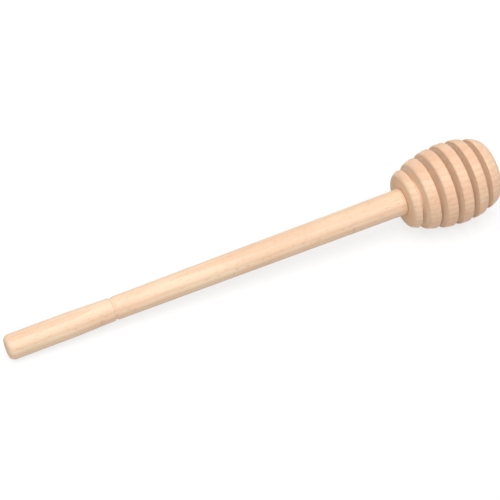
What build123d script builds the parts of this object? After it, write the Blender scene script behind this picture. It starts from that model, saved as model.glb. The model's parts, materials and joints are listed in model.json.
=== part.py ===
"""Honey dipper of turned beech: a handle whose tenon is glued into the bore of a ribbed head.

It lies as it does on a table, on the tip of its handle and the rims of two rings, with the table at Z = 0.
Both pieces are turned about one axis, which rises a little from the tip towards the head. Their sections are
drawn flat first, as (station along the axis from the handle's tip, radius), and then stood up on that axis.
All lengths are in mm.
"""
from build123d import *

import os
from math import asin, atan2, cos, degrees, hypot, radians, sin, sqrt, tan

# Handle
handle_length = 128.5
grip_radius = 4.0
grip_length = 20.0
tip_rounding = 1.8
waist_radius = 3.7
waist_start = 31.0
waist_length = 5.0
shoulder_radius = 4.3

# Ring groove cut into the waist of the handle with the point of the tool
ring_groove_inset = 2.3
ring_groove_width = 1.3
ring_groove_depth = 0.45

# Glued joint between the handle and the head
tenon_radius = 3.0
tenon_length = 15.0
tenon_chamfer = 0.6
glue_gap = 0.05
glue_pocket = 1.0
bore_mouth_chamfer = 0.5
drill_point_angle = 118.0

# Rings of the head and the honey grooves between them, which together give its length
first_ring_width = 2.4
ring_width = 3.5
nose_ring_width = 6.1
groove_count = 5
groove_width = 1.8
core_radius = 5.5
rim_chamfer = 0.45

# Outline of the egg-shaped blank, with the belly's station measured from the front face
belly_station = 15.4
belly_radius = 12.95
face_drop = 4.3
nose_drop = 1.5
nose_crown = 2.4
nose_chamfer = 1.0

# Places along the handle and its joint
waist_end = waist_start + waist_length
ring_groove = waist_start + ring_groove_inset
tenon_end = handle_length + tenon_length
bore_radius = tenon_radius + glue_gap
bore_end = tenon_end + glue_pocket
drill_point_length = bore_radius / tan(radians(drill_point_angle / 2))

# Places along the head
groove_pitch = groove_width + ring_width
first_groove = handle_length + first_ring_width + groove_width / 2
grooves = [first_groove + groove_pitch * number for number in range(groove_count)]
nose_end = grooves[-1] + groove_width / 2 + nose_ring_width
nose_base = nose_end - nose_crown
nose_radius = belly_radius - nose_drop
belly = handle_length + belly_station
front_arc_radius = (belly_station**2 + face_drop**2) / (2 * face_drop)
rear_arc_radius = ((nose_base - belly) ** 2 + nose_drop**2) / (2 * nose_drop)


def blank_radius(station):
    """Radius of the blank: one arc swells from the front face to the belly, another falls to the nose."""
    arc_radius = front_arc_radius if station < belly else rear_arc_radius
    return belly_radius - arc_radius + sqrt(arc_radius**2 - (station - belly) ** 2)


# The handle's section: grip, waist with its ring groove, tapered shaft, square shoulder and tenon
with BuildSketch() as handle_section:
    with BuildLine():
        Polyline(
            (tenon_end, 0),
            (0, 0),
            (0, grip_radius),
            (grip_length, grip_radius),
            (waist_start, waist_radius),
            (ring_groove - ring_groove_width / 2, waist_radius),
            (ring_groove, waist_radius - ring_groove_depth),
            (ring_groove + ring_groove_width / 2, waist_radius),
            (waist_end, waist_radius),
            (handle_length, shoulder_radius),
            (handle_length, tenon_radius),
            (tenon_end, tenon_radius),
            (tenon_end, 0),
        )
    make_face()
    tip_corner = handle_section.vertices().group_by(Axis.X)[0].sort_by(Axis.Y)[-1]
    fillet(tip_corner, radius=tip_rounding)
    tenon_corner = handle_section.vertices().group_by(Axis.X)[-1].sort_by(Axis.Y)[-1]
    chamfer(tenon_corner, length=tenon_chamfer)

# The head's section: a blank with a blind bore, cut into rings down to one straight core.
# Between the middles of two grooves the blank is straight, so each ring has a plain conical rim.
blank_outline = [(station, blank_radius(station)) for station in (handle_length, *grooves, nose_base)]
with BuildSketch() as head_section:
    with BuildLine():
        Polyline(*blank_outline)
        TangentArc((nose_end, 0), (nose_base, nose_radius), tangent=(0, 1))
        Polyline(
            (nose_end, 0),
            (bore_end + drill_point_length, 0),
            (bore_end, bore_radius),
            (handle_length + bore_mouth_chamfer, bore_radius),
            (handle_length, bore_radius + bore_mouth_chamfer),
            blank_outline[0],
        )
    make_face()
    nose_corner = head_section.vertices().sort_by_distance((nose_base, nose_radius))[0]
    chamfer(nose_corner, length=nose_chamfer)
    with Locations(*[(groove, core_radius) for groove in grooves]):
        Rectangle(groove_width, belly_radius, align=(Align.CENTER, Align.MIN), mode=Mode.SUBTRACT)
    # The edges square to the axis are the front face and the walls of the grooves.
    ring_sides = head_section.edges().filter_by(Axis.Y)
    rim_corners = [side.vertices().sort_by(Axis.Y)[-1] for side in ring_sides]
    chamfer(rim_corners, length=rim_chamfer)


# How it lies: the table touches the rounding of the tip and the rim that reaches lowest.
# Of the lines that touch the rounding and a corner of the head's section, the steepest is the table.
tip_arc_offset = grip_radius - tip_rounding


def slope_on(corner):
    """Slope of the turning axis when the table touches the tip and this corner of the head's section."""
    run = corner.X - tip_rounding
    rise = corner.Y - tip_arc_offset
    return atan2(rise, run) - asin(tip_rounding / hypot(run, rise))


axis_slope = max(slope_on(corner) for corner in head_section.vertices())
tip_height = tip_arc_offset * cos(axis_slope) - tip_rounding * sin(axis_slope) + tip_rounding

# The origin lies on the table, midway between the furthest points of the tip and the nose.
nose_dome_radius = (nose_radius**2 + nose_crown**2) / (2 * nose_crown)
tip_reach = tip_rounding - tip_rounding * cos(axis_slope) + tip_arc_offset * sin(axis_slope)
nose_reach = (nose_end - nose_dome_radius) * cos(axis_slope) + nose_dome_radius
tip_x = (tip_reach - nose_reach) / 2

section_plane = Plane(
    origin=(tip_x, 0, tip_height),
    x_dir=(cos(axis_slope), 0, sin(axis_slope)),
    z_dir=(0, -1, 0),
)
turning_axis = Axis(section_plane.origin, section_plane.x_dir)

with BuildPart() as handle:
    with BuildSketch(section_plane):
        add(handle_section.sketch)
    revolve(axis=turning_axis)

with BuildPart() as head:
    with BuildSketch(section_plane):
        add(head_section.sketch)
    revolve(axis=turning_axis)

handle.part.label = "handle"
head.part.label = "head"

os.makedirs("parts", exist_ok=True)
for piece in (handle.part, head.part):
    export_step(piece, f"parts/{piece.label}.step")

print("axis slope in degrees:", round(degrees(axis_slope), 4), "tip at X", round(tip_x, 4), "Z", round(tip_height, 4))
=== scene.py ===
"""Honey dipper of turned beech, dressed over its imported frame: a handle glued into a ribbed head.

Each piece is turned from an outline, as on a lathe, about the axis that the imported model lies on. The
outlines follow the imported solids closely, less what sandpaper takes off, and their edges are eased. Lengths
are in metres.
"""
import json
from math import atan2, ceil, cos, hypot, pi, radians, sin, sqrt, tan

import bpy
from bpy.props import FloatProperty, FloatVectorProperty, IntProperty, PointerProperty
from mathutils import Euler, Matrix, Vector


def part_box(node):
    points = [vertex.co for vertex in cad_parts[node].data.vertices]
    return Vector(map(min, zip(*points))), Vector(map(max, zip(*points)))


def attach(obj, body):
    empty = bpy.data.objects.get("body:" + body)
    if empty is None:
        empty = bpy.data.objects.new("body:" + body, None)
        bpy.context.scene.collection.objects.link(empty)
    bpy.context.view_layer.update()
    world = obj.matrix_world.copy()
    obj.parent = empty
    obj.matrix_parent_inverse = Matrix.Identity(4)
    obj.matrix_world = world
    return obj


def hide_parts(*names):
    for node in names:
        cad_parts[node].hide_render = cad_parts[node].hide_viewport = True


bl_info = {
    "name": "Turned Honey Dipper",
    "version": (1, 0, 0),
    "blender": (4, 5, 0),
    "location": "3D View > Sidebar > Honey Dipper",
    "description": "Turns a beech honey dipper and sets it on a pale table under soft light",
    "category": "Add Mesh",
}

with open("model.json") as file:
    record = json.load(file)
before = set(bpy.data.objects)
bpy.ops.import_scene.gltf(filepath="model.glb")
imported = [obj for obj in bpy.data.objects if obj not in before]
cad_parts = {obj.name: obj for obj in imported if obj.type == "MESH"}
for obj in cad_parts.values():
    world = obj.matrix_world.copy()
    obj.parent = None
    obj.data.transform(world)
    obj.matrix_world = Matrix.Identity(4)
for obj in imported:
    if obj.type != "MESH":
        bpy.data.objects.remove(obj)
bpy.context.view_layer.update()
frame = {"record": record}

MM = 0.001

# The lathe's axis, from the middle of the handle's end face towards the head
end_face = next(mount for mount in frame["record"]["mounts"] if mount["name"] == "handle_end")
tip = Vector(end_face["pos_m"])
along = -Vector(end_face["axis"]).normalized()
lathe_turn = Euler((0, -atan2(along.z, along.x), 0))
lathe = Matrix.Translation(tip) @ lathe_turn.to_matrix().to_4x4()

# How finely the pieces are divided, round the axis and along their outlines
handle_spokes = 96
head_spokes = 128
handle_stride = 1.5 * MM
head_stride = 0.8 * MM
bore_stride = 2.0 * MM
widest_turn = radians(9)
nose_edge_steps = 10
dome_steps = 14
table_spokes = 96

# Where each blank's pith lies from the lathe's axis. The two differ, and so does the pieces' grain.
handle_pith = Vector((0, 4, -43)) * MM
head_pith = Vector((0, -12, -50)) * MM

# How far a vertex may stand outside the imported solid's box by rounding
box_slack = 0.05 * MM


def linear(code):
    """Linear colour of an sRGB hex value such as "F5E0C8"."""
    shares = [int(code[place : place + 2], 16) / 255 for place in (0, 2, 4)]
    return [share / 12.92 if share <= 0.04045 else ((share + 0.055) / 1.055) ** 2.4 for share in shares]


def length(name, millimetres, description):
    """A length that the user can change, given in mm and kept in metres."""
    return FloatProperty(
        name=name, description=description, default=millimetres * MM, min=0.0, precision=5, unit="LENGTH"
    )


def colour(name, code, description):
    """A colour that the user can change, given as an sRGB hex value."""
    return FloatVectorProperty(
        name=name, description=description, default=linear(code), min=0.0, max=1.0, size=3, subtype="COLOR"
    )


def angle(name, degrees, description):
    """An angle that the user can change, given in degrees."""
    return FloatProperty(name=name, description=description, default=radians(degrees), subtype="ANGLE")


def strength(name, value, description):
    """A strength of light that the user can change."""
    return FloatProperty(name=name, description=description, default=value, min=0.0)


class HandleSettings(bpy.types.PropertyGroup):
    """Sizes of the handle, which is sanded 0.15 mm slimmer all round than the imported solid."""

    reach: length("Length", 128.5, "From the tip to the head's front face")
    grip_radius: length("Grip radius", 3.85, "Radius of the straight grip behind the tip")
    grip_length: length("Grip length", 20.0, "Length of the straight grip")
    tip_rounding: length("Tip rounding", 1.8, "Rounding of the tip's edge")
    waist_radius: length("Waist radius", 3.55, "Radius of the narrow stretch that carries the ring groove")
    waist_start: length("Waist start", 31.0, "From the tip to the waist")
    waist_end: length("Waist end", 36.0, "From the tip to the far end of the waist")
    ring_groove: length("Ring groove", 33.3, "From the tip to the middle of the ring groove")
    ring_groove_width: length("Ring groove width", 1.3, "Width of the ring groove at its lips")
    ring_groove_depth: length("Ring groove depth", 0.45, "Depth that the point of the tool has cut")
    shoulder_radius: length("Shoulder radius", 4.15, "Radius where the handle meets the head")
    tenon_radius: length("Tenon radius", 3.0, "Radius of the tenon glued into the head")
    tenon_length: length("Tenon length", 15.0, "Length of the tenon")
    tenon_chamfer: length("Tenon chamfer", 0.6, "Chamfer at the end of the tenon")
    sanded_edge: length("Sanded edge", 0.4, "Rounding that sanding leaves on the lips and the shoulder")
    sanded_bend: length("Sanded bend", 60.0, "Rounding where the shaft's taper changes")


class HeadSettings(bpy.types.PropertyGroup):
    """Sizes of the ribbed head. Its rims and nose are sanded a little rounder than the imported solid's."""

    front: length("Front face", 128.5, "From the handle's tip to the head's front face")
    first_ring: length("First ring", 2.4, "Width of the ring beside the handle")
    ring: length("Ring", 3.5, "Width of each ring between two grooves")
    nose_ring: length("Nose ring", 6.1, "Width of the last ring with its domed nose")
    groove_count: IntProperty(name="Grooves", description="Number of honey grooves", default=5, min=1)
    groove: length("Groove", 1.8, "Width of each honey groove")
    core_radius: length("Core radius", 5.5, "Radius at the bottom of the honey grooves")
    belly: length("Belly", 17.2, "From the front face to the widest place")
    belly_radius: length("Belly radius", 12.8, "Radius at the widest place")
    face_drop: length("Face drop", 4.5, "How much less the radius is at the front face")
    nose_drop: length("Nose drop", 3.0, "How much less the radius is at the nose")
    nose_crown: length("Nose crown", 2.4, "How far the nose's dome stands out")
    nose_rounding: length("Nose rounding", 4.0, "Rounding between the last rim and the dome")
    sanded_edge: length("Sanded edge", 0.65, "Rounding that sanding leaves on the rims")
    tool_corner: length("Tool corner", 0.4, "Rounding that the grooving tool leaves at the bottom")
    bore_radius: length("Bore radius", 3.05, "Radius of the blind bore for the tenon")
    bore_depth: length("Bore depth", 16.0, "Depth of the bore up to the drill's point")
    bore_mouth: length("Bore mouth", 0.5, "Chamfer at the mouth of the bore")
    drill_point: angle("Drill point", 118.0, "Angle of the drill's point at the bottom of the bore")


class WoodSettings(bpy.types.PropertyGroup):
    """Colours, grain and finish of the two pieces' beech."""

    straw: colour("Straw wood", "F9DEC0", "Palest wood of the handle")
    rosy: colour("Rosy wood", "F6D2B4", "Pinker stretches of the handle")
    head_straw: colour("Head straw wood", "F7D6B6", "Palest wood of the head")
    head_rosy: colour("Head rosy wood", "F4C9AA", "Pinker stretches of the head")
    latewood: colour("Latewood", "DDB18A", "Dark line that ends each year's growth")
    ray: colour("Ray fleck", "C6936A", "Short brown rays, which tell beech from maple")
    end_grain: colour("End grain", "EBCBAA", "Cut ends of the pores, which drink in light")
    # Unsanded groove walls, made paler than the wood so that the colour also paints light into the grooves'
    # shade
    fresh_cut_painted_light: colour("Fresh cut", "FFEAD4", "Walls of the grooves, which no sandpaper or hand has browned")
    patch: length("Patch", 22.0, "Length of the straw and rosy stretches")
    growth_ring: length("Growth ring", 1.8, "Distance between two years' growth lines")
    fibre_length: length("Fibre length", 12.0, "Length of the fine streaks along the grain")
    fibre_width: length("Fibre width", 0.4, "Width of the fine streaks")
    ray_length: length("Ray length", 2.6, "Length of a ray fleck along the grain")
    ray_width: length("Ray width", 0.5, "Space that one ray fleck takes across the grain")
    ray_height: length("Ray height", 6.0, "Space that one ray fleck takes away from the pith")
    tool_mark: length("Tool mark", 0.5, "Distance that the lathe's tool moves on in one turn")
    mark_height: length("Mark height", 0.012, "How far the tool's marks stand out")
    sanded_depth: length("Sanded depth", 0.3, "How far below the rims the sandpaper reaches fully")
    raw_depth: length("Raw depth", 1.2, "How far below the rims it reaches no more")


class StageSettings(bpy.types.PropertyGroup):
    """Table, light and camera."""

    floor: colour("Floor", "C8C7C5", "Pale table that bounces light up at the wood")
    floor_reach: length("Floor reach", 4000.0, "Radius of the table")
    floor_shade: strength("Floor shade", 0.25, "Part of the table's white that takes the shadow")
    floor_glow: strength("Floor glow", 0.76, "Part of the table's white that glows, for the camera alone")
    key_strength: strength("Key light", 2.33, "Strength of the soft light above")
    key_spread: angle("Key spread", 55.0, "How large the soft light above looks from the table")
    key_direction: FloatVectorProperty(
        name="Key direction",
        description="Towards the soft light, from the dipper",
        default=(-0.12, -0.28, 1.0),
        size=3,
        subtype="DIRECTION",
    )
    room: strength("Room light", 0.4, "Strength of the light from all round")
    azimuth: angle("Azimuth", -24.63, "Where the camera stands round the dipper")
    elevation: angle("Elevation", 44.69, "How high the camera stands")
    distance: length("Distance", 567.0, "From the camera to the place it looks at")
    lens: FloatProperty(name="Lens", description="Focal length", default=136.8, min=10.0, unit="CAMERA")
    aim: FloatVectorProperty(
        name="Aim",
        description="The place that the camera looks at",
        default=(-0.00175, 0.00186, 0.01002),
        size=3,
        subtype="TRANSLATION",
        unit="LENGTH",
    )


def arc(centre, radius, start, end, steps):
    """Points of an arc between two angles, both ends among them."""
    turn = (end - start) / steps
    return [
        (centre[0] + radius * cos(start + turn * step), centre[1] + radius * sin(start + turn * step))
        for step in range(steps + 1)
    ]


def eased(corners, stride):
    """Outline through corners of (station, radius, rounding), with corners rounded and long sides divided."""
    points = []
    for number, (station, radius, rounding) in enumerate(corners):
        here = Vector((station, radius))
        if rounding and 0 < number < len(corners) - 1:
            back = (Vector(corners[number - 1][:2]) - here).normalized()
            on = (Vector(corners[number + 1][:2]) - here).normalized()
            half = back.angle(on) / 2
            touch = rounding / tan(half)
            centre = here + (back + on).normalized() * rounding / sin(half)
            first = here + back * touch - centre
            last = here + on * touch - centre
            sweep = first.angle_signed(last)
            steps = max(2, ceil(abs(sweep) / widest_turn))
            start = atan2(first.y, first.x)
            stretch = arc(centre, rounding, start, start - sweep, steps)
        else:
            stretch = [(here.x, here.y)]
        if points:
            gap = hypot(stretch[0][0] - points[-1][0], stretch[0][1] - points[-1][1])
            pieces = max(1, ceil(gap / stride))
            start = points[-1]
            for step in range(1, pieces):
                share = step / pieces
                between = [near + (far - near) * share for near, far in zip(start, stretch[0])]
                points.append(tuple(between))
        points.extend(stretch)
    return points


def turn_on_lathe(name, outline, spokes):
    """Turns an outline of (station, radius, depth of cut) about the lathe's axis into a closed mesh piece.

    The outline starts and ends on the axis and has the wood on its right.
    """
    verts = []
    faces = []
    cuts = []
    rows = []
    on_axis = MM / 1000
    for station, radius, cut in outline:
        count = spokes if radius > on_axis else 1
        rows.append([len(verts) + spoke for spoke in range(count)])
        for spoke in range(count):
            around = 2 * pi * spoke / count
            verts.append(lathe @ Vector((station, -radius * sin(around), radius * cos(around))))
            cuts.append(cut)
    for here, there in zip(rows, rows[1:]):
        for spoke in range(spokes):
            after = (spoke + 1) % spokes
            if len(here) == 1:
                faces.append((here[0], there[spoke], there[after]))
            elif len(there) == 1:
                faces.append((here[spoke], there[0], here[after]))
            else:
                faces.append((here[spoke], there[spoke], there[after], here[after]))
    mesh = bpy.data.meshes.new(name)
    mesh.from_pydata(verts, [], faces)
    mesh.validate()
    mesh.shade_smooth()
    depth = mesh.attributes.new("cut_depth", "FLOAT", "POINT")
    depth.data.foreach_set("value", cuts)
    piece = bpy.data.objects.new(name, mesh)
    bpy.context.scene.collection.objects.link(piece)
    return piece


def stand_for(piece, node, material):
    """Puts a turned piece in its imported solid's place, and stops if it reaches outside that solid's box."""
    piece.data.materials.append(material)
    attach(piece, "root")
    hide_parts(node)
    low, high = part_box(node)
    for vert in piece.data.vertices:
        for place in range(3):
            if not low[place] - box_slack <= vert.co[place] <= high[place] + box_slack:
                raise RuntimeError(f"{piece.name} reaches outside the packed {node}: {vert.co / MM}")


def add_node(tree, kind, sockets, **settings):
    """Adds a node with its settings.

    A socket takes a value, another node's first output, or (node, output name).
    """
    added = tree.nodes.new(kind)
    for name, value in settings.items():
        setattr(added, name, value)
    for socket in added.inputs:
        if socket.identifier not in sockets:
            continue
        source = sockets[socket.identifier]
        if isinstance(source, bpy.types.Node):
            source = next(output for output in source.outputs if output.enabled)
        elif isinstance(source, tuple) and isinstance(source[0], bpy.types.Node):
            source = source[0].outputs[source[1]]
        if isinstance(source, bpy.types.NodeSocket):
            tree.links.new(source, socket)
        else:
            socket.default_value = source
    return added


def wave_scale(spacing):
    """Scale of a wave texture whose waves lie this far apart: its waves are pi / 10 apart at scale 1."""
    return pi / 10 / spacing


def straw_and_rosy(tree, grain, pith, straw, rosy):
    """Colour of the ground: straw and rosy stretches, three times as long as they are wide."""
    wood = bpy.context.scene.dipper_wood
    place = add_node(tree, "ShaderNodeMapping", {"Vector": grain, "Location": pith, "Scale": (1, 3, 3)})
    patches = add_node(
        tree, "ShaderNodeTexNoise", {"Vector": place, "Scale": 1 / wood.patch, "Detail": 1.0}
    )
    share = add_node(tree, "ShaderNodeMapRange", {"Value": patches, "From Min": 0.35, "From Max": 0.65})
    return add_node(
        tree,
        "ShaderNodeMix",
        {"Factor_Float": share, "A_Color": (*straw, 1), "B_Color": (*rosy, 1)},
        data_type="RGBA",
    )


def with_growth_lines(tree, grain, pith, ground):
    """Colour of the wood with its growth lines: shells round the pith that waver little along the grain."""
    wood = bpy.context.scene.dipper_wood
    place = add_node(tree, "ShaderNodeMapping", {"Vector": grain, "Location": pith, "Scale": (0.12, 1, 1)})
    growth = add_node(
        tree,
        "ShaderNodeTexWave",
        {
            "Vector": place,
            "Scale": wave_scale(wood.growth_ring),
            "Distortion": 2.2,
            "Detail": 1.0,
            "Detail Scale": 0.3,
        },
        wave_type="RINGS",
        rings_direction="X",
        wave_profile="SAW",
    )
    late = add_node(
        tree,
        "ShaderNodeMapRange",
        {"Value": (growth, "Fac"), "From Min": 0.35, "From Max": 1.0, "To Max": 0.34},
        interpolation_type="SMOOTHSTEP",
    )
    return add_node(
        tree,
        "ShaderNodeMix",
        {"Factor_Float": late, "A_Color": ground, "B_Color": (*wood.latewood, 1)},
        data_type="RGBA",
    )


def fibres_along(tree, grain, pith):
    """Pattern of the fibres. Real ones are under 0.1 mm wide, so these are drawn coarser to show."""
    wood = bpy.context.scene.dipper_wood
    place = add_node(
        tree,
        "ShaderNodeMapping",
        {
            "Vector": grain,
            "Location": pith,
            "Scale": (1 / wood.fibre_length, 1 / wood.fibre_width, 1 / wood.fibre_width),
        },
    )
    return add_node(tree, "ShaderNodeTexNoise", {"Vector": place, "Scale": 1.0, "Detail": 3.0})


def with_fibre_streaks(tree, fibres, ground):
    """Colour of the wood with a fine dark streak beside each bundle of fibres."""
    wood = bpy.context.scene.dipper_wood
    share = add_node(
        tree, "ShaderNodeMapRange", {"Value": fibres, "From Min": 0.35, "From Max": 0.8, "To Max": 0.24}
    )
    return add_node(
        tree,
        "ShaderNodeMix",
        {"Factor_Float": share, "A_Color": ground, "B_Color": (*wood.latewood, 1)},
        data_type="RGBA",
    )


def with_ray_flecks(tree, grain, ground):
    """Colour of the wood with its ray flecks, thin ribbons that show as dashes or as broad flakes.

    Real ones are about 0.15 mm thick, so these are drawn coarser to show.
    """
    wood = bpy.context.scene.dipper_wood
    place = add_node(
        tree,
        "ShaderNodeMapping",
        {"Vector": grain, "Scale": (1 / wood.ray_length, 1 / wood.ray_width, 1 / wood.ray_height)},
    )
    rays = add_node(tree, "ShaderNodeTexVoronoi", {"Vector": place, "Scale": 1.0})
    share = add_node(
        tree,
        "ShaderNodeMapRange",
        {"Value": (rays, "Distance"), "From Min": 0.12, "From Max": 0.34, "To Min": 0.24, "To Max": 0.0},
    )
    return add_node(
        tree,
        "ShaderNodeMix",
        {"Factor_Float": share, "A_Color": ground, "B_Color": (*wood.ray, 1)},
        data_type="RGBA",
    )


def with_cut_faces(tree, across, unsanded_and_painted_light, ground):
    """Colour of the wood's cut faces: end grain drinks in light, and the grooves' walls are pale, partly as
    unsanded wood and partly as painted light that lifts their shade.
    """
    wood = bpy.context.scene.dipper_wood
    dark_share = add_node(
        tree, "ShaderNodeMath", {"Value": across, "Value_001": 0.45}, operation="MULTIPLY"
    )
    ended = add_node(
        tree,
        "ShaderNodeMix",
        {"Factor_Float": dark_share, "A_Color": ground, "B_Color": (*wood.end_grain, 1)},
        data_type="RGBA",
    )
    # Painted light: the groove walls get a colour paler than the wood, which lifts the shade in the grooves
    fresh_and_painted_light_share = add_node(
        tree, "ShaderNodeMath", {"Value": unsanded_and_painted_light, "Value_001": 0.85}, operation="MULTIPLY"
    )
    return add_node(
        tree,
        "ShaderNodeMix",
        {"Factor_Float": fresh_and_painted_light_share, "A_Color": ended, "B_Color": (*wood.fresh_cut_painted_light, 1)},
        data_type="RGBA",
    )


def marks_of_the_tool(tree, grain, fibres, across, unsanded_and_painted_light):
    """Relief of the fibres and the tool's marks: turns along the shaft, and circles on the grooves' walls.

    The turns of a fine last cut lie under 0.2 mm apart, so these are drawn coarser to show.
    """
    wood = bpy.context.scene.dipper_wood
    spacing = {"Vector": grain, "Scale": wave_scale(wood.tool_mark), "Distortion": 0.6, "Detail": 1.0}
    turns = add_node(tree, "ShaderNodeTexWave", spacing, wave_type="BANDS", bands_direction="X")
    circles = add_node(tree, "ShaderNodeTexWave", spacing, wave_type="RINGS", rings_direction="X")
    marks = add_node(
        tree,
        "ShaderNodeMix",
        {"Factor_Float": across, "A_Float": (turns, "Fac"), "B_Float": (circles, "Fac")},
    )
    left = add_node(tree, "ShaderNodeMapRange", {"Value": unsanded_and_painted_light, "To Min": 0.25, "To Max": 1.0})
    marked = add_node(tree, "ShaderNodeMath", {"Value": marks, "Value_001": left}, operation="MULTIPLY")
    relief = add_node(tree, "ShaderNodeMath", {"Value": fibres, "Value_001": marked}, operation="ADD")
    return add_node(
        tree, "ShaderNodeBump", {"Height": relief, "Strength": 1.0, "Distance": wood.mark_height}
    )


def turned_beech(name, straw, rosy, pith):
    """Beech turned between centres, sanded and left untreated.

    It has a close, even, straw to rosy ground with faint growth lines, short brown ray flecks along the
    grain and a dull sheen. The wood grows along the lathe's axis, round a pith outside the blank. Its ends
    show end grain, which is darker and has no sheen. The grooves' walls have none either, and are paler: they
    are unsanded, and their colour also holds painted light that lifts the shade in the grooves.
    """
    wood = bpy.context.scene.dipper_wood
    material = bpy.data.materials.new(name)
    material.use_nodes = True
    tree = material.node_tree
    tree.nodes.clear()

    place = add_node(tree, "ShaderNodeTexCoord", {})
    grain = add_node(
        tree,
        "ShaderNodeMapping",
        {"Vector": (place, "Object"), "Location": tip, "Rotation": lathe_turn},
        vector_type="TEXTURE",
    )
    # 1 where the sandpaper never reached, a little below the rims. It also places the painted light in the
    # grooves.
    cut = add_node(tree, "ShaderNodeAttribute", {}, attribute_name="cut_depth")
    unsanded_and_painted_light = add_node(
        tree,
        "ShaderNodeMapRange",
        {"Value": (cut, "Fac"), "From Min": wood.sanded_depth, "From Max": wood.raw_depth},
        interpolation_type="SMOOTHSTEP",
    )
    # 1 where the surface is cut square across the fibres
    facing = add_node(
        tree,
        "ShaderNodeVectorMath",
        {"Vector": (place, "Normal"), "Vector_001": along},
        operation="DOT_PRODUCT",
    )
    turned_away = add_node(tree, "ShaderNodeMath", {"Value": (facing, "Value")}, operation="ABSOLUTE")
    across = add_node(
        tree,
        "ShaderNodeMapRange",
        {"Value": turned_away, "From Min": 0.45, "From Max": 0.95},
        interpolation_type="SMOOTHSTEP",
    )

    fibres = fibres_along(tree, grain, pith)
    ground = straw_and_rosy(tree, grain, pith, straw, rosy)
    grown = with_growth_lines(tree, grain, pith, ground)
    streaked = with_fibre_streaks(tree, fibres, grown)
    flecked = with_ray_flecks(tree, grain, streaked)
    coloured = with_cut_faces(tree, across, unsanded_and_painted_light, flecked)
    relief = marks_of_the_tool(tree, grain, fibres, across, unsanded_and_painted_light)

    # Sanded long grain has a dull sheen, and end grain and unsanded walls have none
    dullest = add_node(
        tree, "ShaderNodeMath", {"Value": across, "Value_001": unsanded_and_painted_light}, operation="MAXIMUM"
    )
    roughness = add_node(tree, "ShaderNodeMapRange", {"Value": dullest, "To Min": 0.5, "To Max": 0.75})
    surface = add_node(
        tree,
        "ShaderNodeBsdfPrincipled",
        {
            "Base Color": coloured,
            "Roughness": roughness,
            "IOR": 1.53,
            "Specular IOR Level": 0.35,
            "Normal": relief,
        },
    )
    add_node(tree, "ShaderNodeOutputMaterial", {"Surface": surface})
    return material


def handle_outline(size):
    """Outline of the handle as (station, radius, depth of cut), from the tip to the end of the tenon."""
    tenon_end = size.reach + size.tenon_length
    groove_front = size.ring_groove - size.ring_groove_width / 2
    groove_back = size.ring_groove + size.ring_groove_width / 2
    corners = [
        (0, 0, 0),
        (0, size.grip_radius, size.tip_rounding),
        (size.grip_length, size.grip_radius, size.sanded_bend),
        (size.waist_start, size.waist_radius, size.sanded_bend),
        (groove_front, size.waist_radius, size.sanded_edge),
        (size.ring_groove, size.waist_radius - size.ring_groove_depth, size.sanded_edge),
        (groove_back, size.waist_radius, size.sanded_edge),
        (size.waist_end, size.waist_radius, size.sanded_bend),
        (size.reach, size.shoulder_radius, size.sanded_edge),
        (size.reach, size.tenon_radius, 0),
        (tenon_end - size.tenon_chamfer, size.tenon_radius, 0),
        (tenon_end, size.tenon_radius - size.tenon_chamfer, 0),
        (tenon_end, 0, 0),
    ]
    outline = []
    for station, radius in eased(corners, handle_stride):
        in_groove = groove_front < station < groove_back
        depth = max(0, size.waist_radius - radius) if in_groove else 0
        outline.append((station, radius, depth))
    return outline


def bore_outline(size):
    """Outline of the blind bore, from the drill's point to the front face."""
    bore_end = size.front + size.bore_depth
    point = size.bore_radius / tan(size.drill_point / 2)
    corners = [
        (bore_end + point, 0, 0),
        (bore_end, size.bore_radius, 0),
        (size.front + size.bore_mouth, size.bore_radius, 0),
        (size.front, size.bore_radius + size.bore_mouth, 0),
    ]
    return eased(corners, bore_stride)


def nose_outline(size, nose_end, rear_centre, rear_arc):
    """Outline of the nose: its dome, and a rounding that touches it and the blank's arc from inside."""
    nose_radius = size.belly_radius - size.nose_drop
    dome = (nose_radius**2 + size.nose_crown**2) / (2 * size.nose_crown)
    dome_centre = Vector((nose_end - dome, 0))
    apart = dome_centre - rear_centre
    sideways = Vector((apart.y, -apart.x)).normalized()
    to_rear = rear_arc - size.nose_rounding
    to_dome = dome - size.nose_rounding
    base = (to_rear**2 - to_dome**2 + apart.length_squared) / (2 * apart.length)
    height = sqrt(to_rear**2 - base**2)
    centre = rear_centre + apart.normalized() * base + sideways * height
    from_rear = centre - rear_centre
    from_dome = centre - dome_centre
    rear_angle = atan2(from_rear.y, from_rear.x)
    dome_angle = atan2(from_dome.y, from_dome.x)
    rounding = arc(centre, size.nose_rounding, rear_angle, dome_angle, nose_edge_steps)
    return rounding + arc(dome_centre, dome, dome_angle, 0, dome_steps)[1:]


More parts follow.
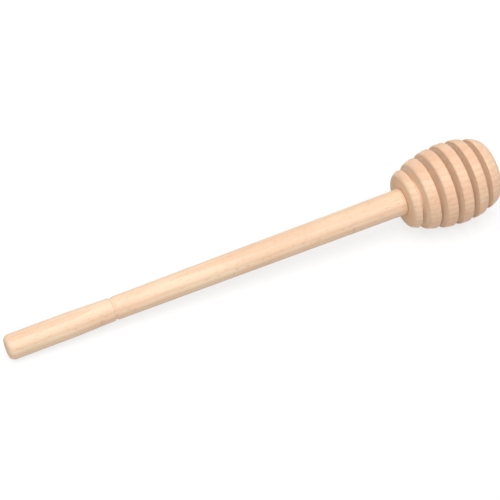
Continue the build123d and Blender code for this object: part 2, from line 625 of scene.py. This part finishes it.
def head_outline(size):
    """Outline of the head as (station, radius, depth of cut), from the drill's point round to the nose."""
    pitch = size.groove + size.ring
    first_groove = size.front + size.first_ring + size.groove / 2
    grooves = [first_groove + pitch * number for number in range(size.groove_count)]
    nose_end = grooves[-1] + size.groove / 2 + size.nose_ring
    nose_base = nose_end - size.nose_crown
    belly = size.front + size.belly
    front_arc = (size.belly**2 + size.face_drop**2) / (2 * size.face_drop)
    rear_arc = ((nose_base - belly) ** 2 + size.nose_drop**2) / (2 * size.nose_drop)

    def blank(station):
        """Radius of the egg-shaped blank."""
        bow = front_arc if station < belly else rear_arc
        return size.belly_radius - bow + sqrt(bow**2 - (station - belly) ** 2)

    bore = bore_outline(size)
    nose = nose_outline(size, nose_end, Vector((belly, size.belly_radius - rear_arc)), rear_arc)

    # Front face, rims and grooves, as (station, depth below the blank, rounding)
    corners = [(size.front, blank(size.front) - size.bore_radius - size.bore_mouth, 0)]
    ring_front = size.front
    for groove in grooves:
        ring_back = groove - size.groove / 2
        next_ring = groove + size.groove / 2
        corners += [
            (ring_front, 0, size.sanded_edge),
            (ring_back, 0, size.sanded_edge),
            (ring_back, blank(ring_back) - size.core_radius, size.tool_corner),
            (next_ring, blank(next_ring) - size.core_radius, size.tool_corner),
        ]
        ring_front = next_ring
    corners += [(ring_front, 0, size.sanded_edge), (nose[0][0], 0, 0)]

    # The front face and the nose are sanded all over, and the bore nowhere
    bore_cut = blank(size.front) - size.bore_radius
    sanded_face = size.front + size.sanded_edge / 10
    outline = [(station, radius, bore_cut) for station, radius in bore[:-1]]
    for station, depth in eased(corners, head_stride):
        outline.append((station, blank(station) - depth, 0 if station < sanded_face else depth))
    outline += [(station, radius, 0) for station, radius in nose[1:]]
    return outline


class DIPPER_OT_turn_handle(bpy.types.Operator):
    """Turn the handle with its ring groove and tenon"""

    bl_idname = "dipper.turn_handle"
    bl_label = "Turn Handle"

    def execute(self, context):
        wood = context.scene.dipper_wood
        outline = handle_outline(context.scene.dipper_handle)
        piece = turn_on_lathe("turned_handle", outline, handle_spokes)
        beech = turned_beech("Turned beech of the handle", wood.straw, wood.rosy, handle_pith)
        stand_for(piece, "handle", beech)
        return {"FINISHED"}


class DIPPER_OT_turn_head(bpy.types.Operator):
    """Turn the egg-shaped head, cut its honey grooves and drill its bore"""

    bl_idname = "dipper.turn_head"
    bl_label = "Turn Head"

    def execute(self, context):
        wood = context.scene.dipper_wood
        outline = head_outline(context.scene.dipper_head)
        piece = turn_on_lathe("turned_head", outline, head_spokes)
        beech = turned_beech("Turned beech of the head", wood.head_straw, wood.head_rosy, head_pith)
        stand_for(piece, "head", beech)
        return {"FINISHED"}


def seen_directly(tree):
    """1 for what the camera sees, also reflected or through glass, and 0 for light that falls on wood."""
    path = add_node(tree, "ShaderNodeLightPath", {})
    seen = add_node(
        tree,
        "ShaderNodeMath",
        {"Value": (path, "Is Camera Ray"), "Value_001": (path, "Is Glossy Ray")},
        operation="MAXIMUM",
    )
    return add_node(
        tree,
        "ShaderNodeMath",
        {"Value": seen, "Value_001": (path, "Is Transmission Ray")},
        operation="MAXIMUM",
    )


def matt_white_card(stage):
    """Smooth card with no sheen. For the camera it glows up to white, and it still takes the shadow."""
    card = bpy.data.materials.new("Matt white card")
    card.use_nodes = True
    tree = card.node_tree
    tree.nodes.clear()
    bouncing = add_node(tree, "ShaderNodeBsdfDiffuse", {"Color": (*stage.floor, 1)})
    shade = stage.floor_shade
    shaded = add_node(tree, "ShaderNodeBsdfDiffuse", {"Color": (shade, shade, shade, 1)})
    glow = add_node(tree, "ShaderNodeEmission", {"Color": (1, 1, 1, 1), "Strength": stage.floor_glow})
    shown = add_node(tree, "ShaderNodeAddShader", {"Shader": shaded, "Shader_001": glow})
    seen = seen_directly(tree)
    mixed = add_node(tree, "ShaderNodeMixShader", {"Fac": seen, "Shader": bouncing, "Shader_001": shown})
    add_node(tree, "ShaderNodeOutputMaterial", {"Surface": mixed})
    return card


def lay_table(stage):
    """Round table at Z = 0, far wider than the picture."""
    circle = arc((0, 0), stage.floor_reach, 0, 2 * pi, table_spokes)[:-1]
    mesh = bpy.data.meshes.new("table")
    mesh.from_pydata([(x, y, 0) for x, y in circle], [], [tuple(range(table_spokes))])
    mesh.materials.append(matt_white_card(stage))
    table = bpy.data.objects.new("table", mesh)
    bpy.context.scene.collection.objects.link(table)


def hang_key_light(stage):
    """One large soft light above."""
    lamp = bpy.data.lights.new("key_light", "SUN")
    lamp.energy = stage.key_strength
    lamp.angle = stage.key_spread
    light = bpy.data.objects.new("key_light", lamp)
    light.rotation_euler = Vector(stage.key_direction).to_track_quat("Z", "Y").to_euler()
    bpy.context.scene.collection.objects.link(light)


def white_room(stage):
    """Light from all round, which the camera sees as plain white."""
    world = bpy.data.worlds.new("White room")
    world.use_nodes = True
    tree = world.node_tree
    tree.nodes.clear()
    room = add_node(tree, "ShaderNodeBackground", {"Color": (1, 1, 1, 1), "Strength": stage.room})
    white = add_node(tree, "ShaderNodeBackground", {"Color": (1, 1, 1, 1), "Strength": 1.0})
    seen = seen_directly(tree)
    mixed = add_node(tree, "ShaderNodeMixShader", {"Fac": seen, "Shader": room, "Shader_001": white})
    add_node(tree, "ShaderNodeOutputWorld", {"Surface": mixed})
    bpy.context.scene.world = world


def set_up_camera(stage):
    """Camera at the photograph's viewing angle."""
    lens = bpy.data.cameras.new("camera")
    lens.lens = stage.lens
    lens.sensor_width = 36
    lens.clip_start = 0.01
    lens.clip_end = 20
    level = cos(stage.elevation)
    back = Vector((sin(stage.azimuth) * level, -cos(stage.azimuth) * level, sin(stage.elevation)))
    camera = bpy.data.objects.new("camera", lens)
    camera.location = Vector(stage.aim) + back * stage.distance
    camera.rotation_euler = back.to_track_quat("Z", "Y").to_euler()
    bpy.context.scene.collection.objects.link(camera)
    bpy.context.scene.camera = camera


class DIPPER_OT_set_stage(bpy.types.Operator):
    """Set the pale table, the soft light and the camera"""

    bl_idname = "dipper.set_stage"
    bl_label = "Set Stage"

    def execute(self, context):
        stage = context.scene.dipper_stage
        lay_table(stage)
        hang_key_light(stage)
        white_room(stage)
        set_up_camera(stage)
        context.scene.view_settings.view_transform = "Standard"
        return {"FINISHED"}


class DIPPER_PT_sidebar(bpy.types.Panel):
    """Lists the pieces of the dipper and the stage"""

    bl_idname = "DIPPER_PT_sidebar"
    bl_label = "Honey Dipper"
    bl_space_type = "VIEW_3D"
    bl_region_type = "UI"
    bl_category = "Honey Dipper"

    def draw(self, context):
        for operator, group in (
            (DIPPER_OT_turn_handle, context.scene.dipper_handle),
            (DIPPER_OT_turn_head, context.scene.dipper_head),
            (DIPPER_OT_set_stage, context.scene.dipper_stage),
        ):
            box = self.layout.box()
            box.operator(operator.bl_idname)
            for name in group.__annotations__:
                box.prop(group, name)
        box = self.layout.box()
        box.label(text="Wood")
        for name in WoodSettings.__annotations__:
            box.prop(context.scene.dipper_wood, name)


groups = {
    "dipper_handle": HandleSettings,
    "dipper_head": HeadSettings,
    "dipper_wood": WoodSettings,
    "dipper_stage": StageSettings,
}
buttons = (DIPPER_OT_turn_handle, DIPPER_OT_turn_head, DIPPER_OT_set_stage, DIPPER_PT_sidebar)


def register():
    """Makes the settings, the operators and the panel known."""
    for name, group in groups.items():
        bpy.utils.register_class(group)
        setattr(bpy.types.Scene, name, PointerProperty(type=group))
    for button in buttons:
        bpy.utils.register_class(button)


def unregister():
    """Takes them away again."""
    for button in reversed(buttons):
        bpy.utils.unregister_class(button)
    for name, group in groups.items():
        delattr(bpy.types.Scene, name)
        bpy.utils.unregister_class(group)


def main():
    """Makes the dipper and its stage."""
    register()
    bpy.ops.dipper.turn_handle()
    bpy.ops.dipper.turn_head()
    bpy.ops.dipper.set_stage()


if __name__ == "__main__":
    main()
